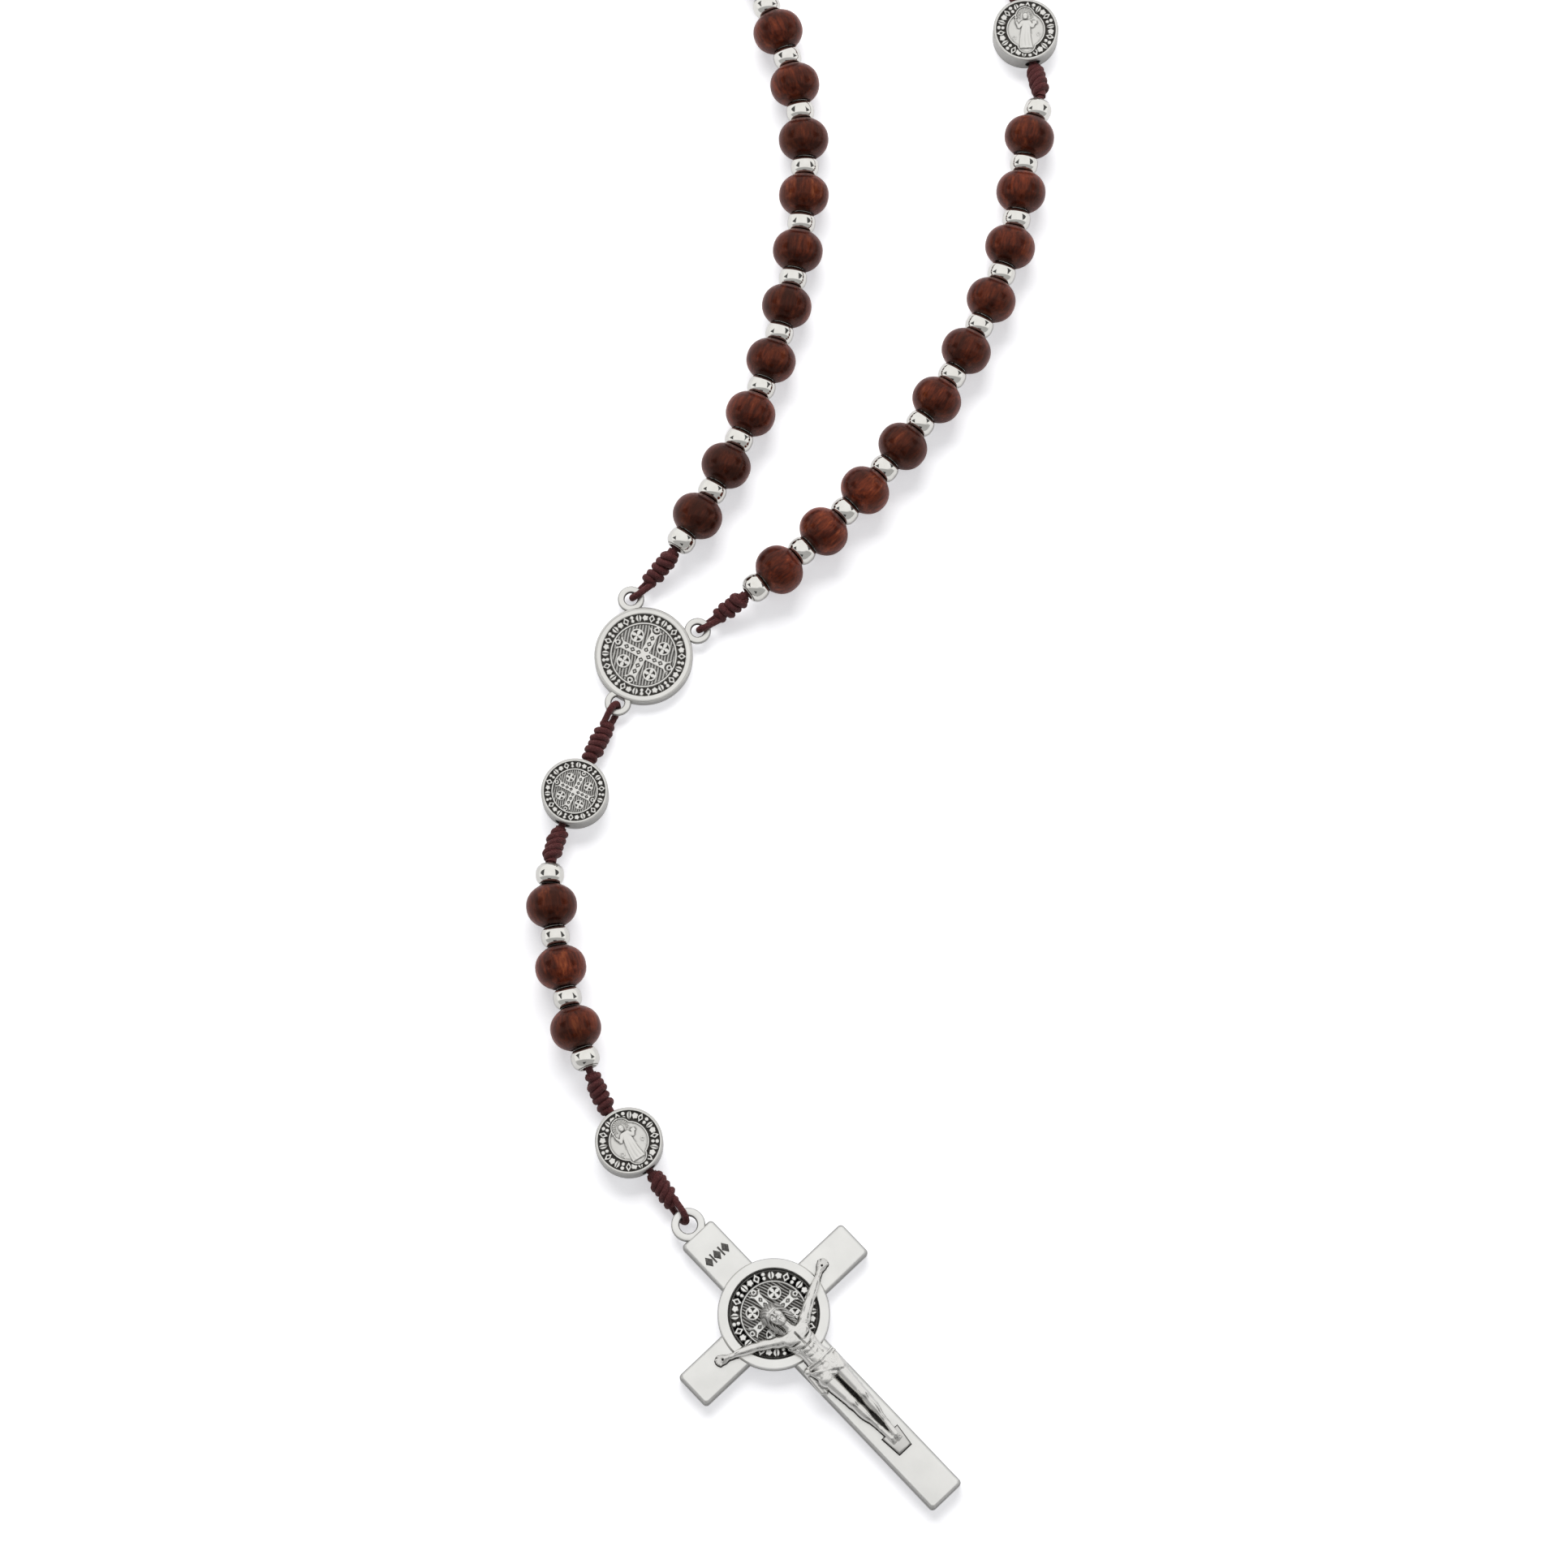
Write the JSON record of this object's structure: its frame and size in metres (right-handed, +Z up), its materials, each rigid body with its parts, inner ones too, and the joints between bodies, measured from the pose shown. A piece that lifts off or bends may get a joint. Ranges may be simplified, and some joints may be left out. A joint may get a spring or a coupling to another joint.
{
  "type": "rosary",
  "caption": "Corded prayer beads: a closed loop of wood and silver-coloured beads with medal beads, a centre medal, and a short drop with a crucifix.",
  "frame": {"origin": "on the table plane under the centre of the centre medal", "axes": "+Z up out of the table, +Y from the centre medal up the loop, +X to its right; the drop and crucifix lie towards -Y"},
  "size_m": [0.0872, 0.4154, 0.0081],
  "materials": {
    "wood": "stained reddish brown, glossy lacquer, streaky grain",
    "silver": "polished",
    "antique_silver": "antiqued silver plate, dark recesses and bright worn relief",
    "crucifix": "bright satin silver plate with dark antiquing round the relief",
    "cord": "waxed dark maroon-brown twisted cord"
  },
  "bodies": {
    "centre_medal": {"centre_medal": "antique_silver"},
    "loop_lower": {"cord_left_lower": "cord", "cord_right_lower": "cord"},
    "loop_upper": {"cord_left_upper": "cord", "cord_right_upper": "cord"},
    "loop_near_medals": {"cord_left_medal": "cord", "cord_right_medal": "cord"},
    "loop_far_lower": {"decade_left_lower": "wood", "decade_right_lower": "wood"},
    "loop_far_upper": {"decade_left_upper": "wood", "decade_right_upper": "wood"},
    "loop_top": {"decade_top": "wood"},
    "wood_left_1": {"wood_left_1": "wood"},
    "wood_left_2": {"wood_left_2": "wood"},
    "wood_left_3": {"wood_left_3": "wood"},
    "wood_left_4": {"wood_left_4": "wood"},
    "wood_left_5": {"wood_left_5": "wood"},
    "wood_left_6": {"wood_left_6": "wood"},
    "wood_left_7": {"wood_left_7": "wood"},
    "wood_left_8": {"wood_left_8": "wood"},
    "wood_left_9": {"wood_left_9": "wood"},
    "wood_left_10": {"wood_left_10": "wood"},
    "medal_left_near": {"medal_left_near": "antique_silver"},
    "medal_left_far": {"medal_left_far": "antique_silver"},
    "wood_right_1": {"wood_right_1": "wood"},
    "wood_right_2": {"wood_right_2": "wood"},
    "wood_right_3": {"wood_right_3": "wood"},
    "wood_right_4": {"wood_right_4": "wood"},
    "wood_right_5": {"wood_right_5": "wood"},
    "wood_right_6": {"wood_right_6": "wood"},
    "wood_right_7": {"wood_right_7": "wood"},
    "wood_right_8": {"wood_right_8": "wood"},
    "wood_right_9": {"wood_right_9": "wood"},
    "wood_right_10": {"wood_right_10": "wood"},
    "medal_right_near": {"medal_right_near": "antique_silver"},
    "medal_right_far": {"medal_right_far": "antique_silver"},
    "drop_1": {"cord_drop_1": "cord"},
    "drop_2": {"cord_drop_2": "cord"},
    "drop_3": {"cord_drop_3": "cord"},
    "drop_4": {"cord_drop_4": "cord"},
    "drop_5": {"cord_drop_5": "cord"},
    "drop_6": {"cord_drop_6": "cord"},
    "drop_7": {"cord_drop_7": "cord"},
    "crucifix": {"crucifix": "crucifix"},
    "silver_drop_1": {"silver_drop_1": "silver"},
    "silver_drop_2": {"silver_drop_2": "silver"},
    "silver_drop_3": {"silver_drop_3": "silver"},
    "silver_drop_4": {"silver_drop_4": "silver"},
    "wood_drop_1": {"wood_drop_1": "wood"},
    "wood_drop_2": {"wood_drop_2": "wood"},
    "wood_drop_3": {"wood_drop_3": "wood"},
    "medal_drop_upper": {"medal_drop_upper": "antique_silver"},
    "medal_drop_lower": {"medal_drop_lower": "antique_silver"}
  },
  "joints": [
    {"name": "loop_fold_1_centre_medal", "type": "hinge", "parent": "centre_medal", "child": "loop_lower", "pos_m": [0.00449, 0.00755, 0.0016], "axis": [0.8938, -0.4485, 0], "range_deg": [-45, 45]},
    {"name": "loop_fold_2_near_decades", "type": "hinge", "parent": "loop_lower", "child": "loop_upper", "pos_m": [0.0364, 0.0537, 0.004], "axis": [0.8423, -0.539, 0], "range_deg": [-30, 30]},
    {"name": "loop_fold_3_below_medals", "type": "hinge", "parent": "loop_upper", "child": "loop_near_medals", "pos_m": [0.04134, 0.09921, 0.004], "axis": [0.9263, -0.3768, 0], "range_deg": [-30, 30]},
    {"name": "loop_fold_4_above_medals", "type": "hinge", "parent": "loop_near_medals", "child": "loop_far_lower", "pos_m": [0.0329, 0.12595, 0.004], "axis": [0.955, -0.2966, 0], "range_deg": [-30, 30]},
    {"name": "loop_fold_5_far_decades", "type": "hinge", "parent": "loop_far_lower", "child": "loop_far_upper", "pos_m": [0.0241, 0.17211, 0.004], "axis": [0.9708, -0.2398, 0], "range_deg": [-30, 30]},
    {"name": "loop_fold_6_top", "type": "hinge", "parent": "loop_far_upper", "child": "loop_top", "pos_m": [0.02855, 0.21903, 0.004], "axis": [0.9723, -0.2339, 0], "range_deg": [-30, 30]},
    {"name": "drop_1_sway", "type": "hinge", "parent": "centre_medal", "child": "drop_1", "pos_m": [-0.00402, -0.00772, 0.0016], "axis": [0, 0, 1], "range_deg": [-60, 60]},
    {"name": "drop_2_lift", "type": "hinge", "parent": "drop_1", "child": "drop_2", "pos_m": [-0.01268, -0.02771, 0.002], "axis": [-0.9358, 0.3525, 0], "range_deg": [-25, 25]},
    {"name": "drop_3_sway", "type": "hinge", "parent": "drop_2", "child": "drop_3", "pos_m": [-0.01443, -0.03603, 0.004], "axis": [0, 0, 1], "range_deg": [-25, 25]},
    {"name": "drop_4_lift", "type": "hinge", "parent": "drop_3", "child": "drop_4", "pos_m": [-0.01345, -0.04593, 0.004], "axis": [-0.9882, -0.1532, 0], "range_deg": [-25, 25]},
    {"name": "drop_5_sway", "type": "hinge", "parent": "drop_4", "child": "drop_5", "pos_m": [-0.01149, -0.05568, 0.004], "axis": [0, 0, 1], "range_deg": [-25, 25]},
    {"name": "drop_6_lift", "type": "hinge", "parent": "drop_5", "child": "drop_6", "pos_m": [-0.00865, -0.06521, 0.004], "axis": [-0.9449, -0.3275, 0], "range_deg": [-25, 25]},
    {"name": "drop_7_sway", "type": "hinge", "parent": "drop_6", "child": "drop_7", "pos_m": [0.0015, -0.08267, 0.002], "axis": [0, 0, 1], "range_deg": [-25, 25]},
    {"name": "crucifix_swing", "type": "hinge", "parent": "drop_7", "child": "crucifix", "pos_m": [0.00743, -0.09102, 0.0018], "axis": [0, 0, 1], "range_deg": [-60, 60]},
    {"name": "spin_wood_left_1", "type": "hinge", "parent": "loop_lower", "child": "wood_left_1", "pos_m": [0.00851, 0.02229, 0.004], "axis": [0.5106, 0.8598, 0], "continuous": true},
    {"name": "spin_wood_left_2", "type": "hinge", "parent": "loop_lower", "child": "wood_left_2", "pos_m": [0.01304, 0.0306, 0.004], "axis": [0.4454, 0.8953, 0], "continuous": true},
    {"name": "spin_wood_left_3", "type": "hinge", "parent": "loop_lower", "child": "wood_left_3", "pos_m": [0.01693, 0.03922, 0.004], "axis": [0.3777, 0.9259, 0], "continuous": true},
    {"name": "spin_wood_left_4", "type": "hinge", "parent": "loop_lower", "child": "wood_left_4", "pos_m": [0.02017, 0.0481, 0.004], "axis": [0.3069, 0.9518, 0], "continuous": true},
    {"name": "spin_wood_left_5", "type": "hinge", "parent": "loop_lower", "child": "wood_left_5", "pos_m": [0.0227, 0.05721, 0.004], "axis": [0.2273, 0.9738, 0], "continuous": true},
    {"name": "spin_wood_left_6", "type": "hinge", "parent": "loop_upper", "child": "wood_left_6", "pos_m": [0.02447, 0.0665, 0.004], "axis": [0.1463, 0.9892, 0], "continuous": true},
    {"name": "spin_wood_left_7", "type": "hinge", "parent": "loop_upper", "child": "wood_left_7", "pos_m": [0.02547, 0.07591, 0.004], "axis": [0.0642, 0.9979, 0], "continuous": true},
    {"name": "spin_wood_left_8", "type": "hinge", "parent": "loop_upper", "child": "wood_left_8", "pos_m": [0.02542, 0.08536, 0.004], "axis": [-0.0771, 0.997, 0], "continuous": true},
    {"name": "spin_wood_left_9", "type": "hinge", "parent": "loop_upper", "child": "wood_left_9", "pos_m": [0.02401, 0.09471, 0.004], "axis": [-0.219, 0.9757, 0], "continuous": true},
    {"name": "spin_wood_left_10", "type": "hinge", "parent": "loop_upper", "child": "wood_left_10", "pos_m": [0.02129, 0.10376, 0.004], "axis": [-0.3565, 0.9343, 0], "continuous": true},
    {"name": "spin_medal_left_near", "type": "hinge", "parent": "loop_near_medals", "child": "medal_left_near", "pos_m": [0.01344, 0.12098, 0.002], "axis": [-0.4226, 0.9063, 0], "continuous": true},
    {"name": "spin_medal_left_far", "type": "hinge", "parent": "loop_top", "child": "medal_left_far", "pos_m": [0.0022, 0.23997, 0.002], "axis": [0.2455, 0.9694, 0], "continuous": true},
    {"name": "spin_wood_right_1", "type": "hinge", "parent": "loop_lower", "child": "wood_right_1", "pos_m": [0.0215, 0.01345, 0.004], "axis": [0.7704, 0.6375, 0], "continuous": true},
    {"name": "spin_wood_right_2", "type": "hinge", "parent": "loop_lower", "child": "wood_right_2", "pos_m": [0.02856, 0.01975, 0.004], "axis": [0.7214, 0.6925, 0], "continuous": true},
    {"name": "spin_wood_right_3", "type": "hinge", "parent": "loop_lower", "child": "wood_right_3", "pos_m": [0.03514, 0.02654, 0.004], "axis": [0.6684, 0.7438, 0], "continuous": true},
    {"name": "spin_wood_right_4", "type": "hinge", "parent": "loop_lower", "child": "wood_right_4", "pos_m": [0.0412, 0.03381, 0.004], "axis": [0.6113, 0.7914, 0], "continuous": true},
    {"name": "spin_wood_right_5", "type": "hinge", "parent": "loop_lower", "child": "wood_right_5", "pos_m": [0.04665, 0.04153, 0.004], "axis": [0.5412, 0.8409, 0], "continuous": true},
    {"name": "spin_wood_right_6", "type": "hinge", "parent": "loop_upper", "child": "wood_right_6", "pos_m": [0.05142, 0.0497, 0.004], "axis": [0.4671, 0.8842, 0], "continuous": true},
    {"name": "spin_wood_right_7", "type": "hinge", "parent": "loop_upper", "child": "wood_right_7", "pos_m": [0.05548, 0.05824, 0.004], "axis": [0.3896, 0.921, 0], "continuous": true},
    {"name": "spin_wood_right_8", "type": "hinge", "parent": "loop_upper", "child": "wood_right_8", "pos_m": [0.05859, 0.06716, 0.004], "axis": [0.2624, 0.965, 0], "continuous": true},
    {"name": "spin_wood_right_9", "type": "hinge", "parent": "loop_upper", "child": "wood_right_9", "pos_m": [0.06042, 0.07644, 0.004], "axis": [0.1233, 0.9924, 0], "continuous": true},
    {"name": "spin_wood_right_10", "type": "hinge", "parent": "loop_upper", "child": "wood_right_10", "pos_m": [0.06187, 0.08578, 0.004], "axis": [0.2417, 0.9704, 0], "continuous": true},
    {"name": "spin_medal_right_near", "type": "hinge", "parent": "loop_near_medals", "child": "medal_right_near", "pos_m": [0.0615, 0.1042, 0.002], "axis": [-0.2215, 0.9751, 0], "continuous": true},
    {"name": "spin_medal_right_far", "type": "hinge", "parent": "loop_top", "child": "medal_right_far", "pos_m": [0.06154, 0.2257, 0.002], "axis": [0.2222, 0.975, 0], "continuous": true},
    {"name": "spin_silver_drop_1", "type": "hinge", "parent": "drop_2", "child": "silver_drop_1", "pos_m": [-0.01443, -0.03603, 0.004], "axis": [-0.0205, -0.9998, 0], "continuous": true},
    {"name": "spin_silver_drop_2", "type": "hinge", "parent": "drop_3", "child": "silver_drop_2", "pos_m": [-0.01345, -0.04593, 0.004], "axis": [0.1532, -0.9882, 0], "continuous": true},
    {"name": "spin_silver_drop_3", "type": "hinge", "parent": "drop_4", "child": "silver_drop_3", "pos_m": [-0.01149, -0.05568, 0.004], "axis": [0.2413, -0.9705, 0], "continuous": true},
    {"name": "spin_silver_drop_4", "type": "hinge", "parent": "drop_5", "child": "silver_drop_4", "pos_m": [-0.00865, -0.06521, 0.004], "axis": [0.3275, -0.9449, 0], "continuous": true},
    {"name": "spin_wood_drop_1", "type": "hinge", "parent": "drop_3", "child": "wood_drop_1", "pos_m": [-0.0141, -0.04099, 0.004], "axis": [0.1086, -0.9941, 0], "continuous": true},
    {"name": "spin_wood_drop_2", "type": "hinge", "parent": "drop_4", "child": "wood_drop_2", "pos_m": [-0.01258, -0.05082, 0.004], "axis": [0.1974, -0.9803, 0], "continuous": true},
    {"name": "spin_wood_drop_3", "type": "hinge", "parent": "drop_5", "child": "wood_drop_3", "pos_m": [-0.01018, -0.06048, 0.004], "axis": [0.2847, -0.9586, 0], "continuous": true},
    {"name": "spin_medal_drop_upper", "type": "hinge", "parent": "drop_1", "child": "medal_drop_upper", "pos_m": [-0.01066, -0.02254, 0.002], "axis": [-0.3755, -0.9268, 0], "continuous": true},
    {"name": "spin_medal_drop_lower", "type": "hinge", "parent": "drop_6", "child": "medal_drop_lower", "pos_m": [-0.00179, -0.0782, 0.002], "axis": [0.5973, -0.802, 0], "continuous": true}
  ]
}
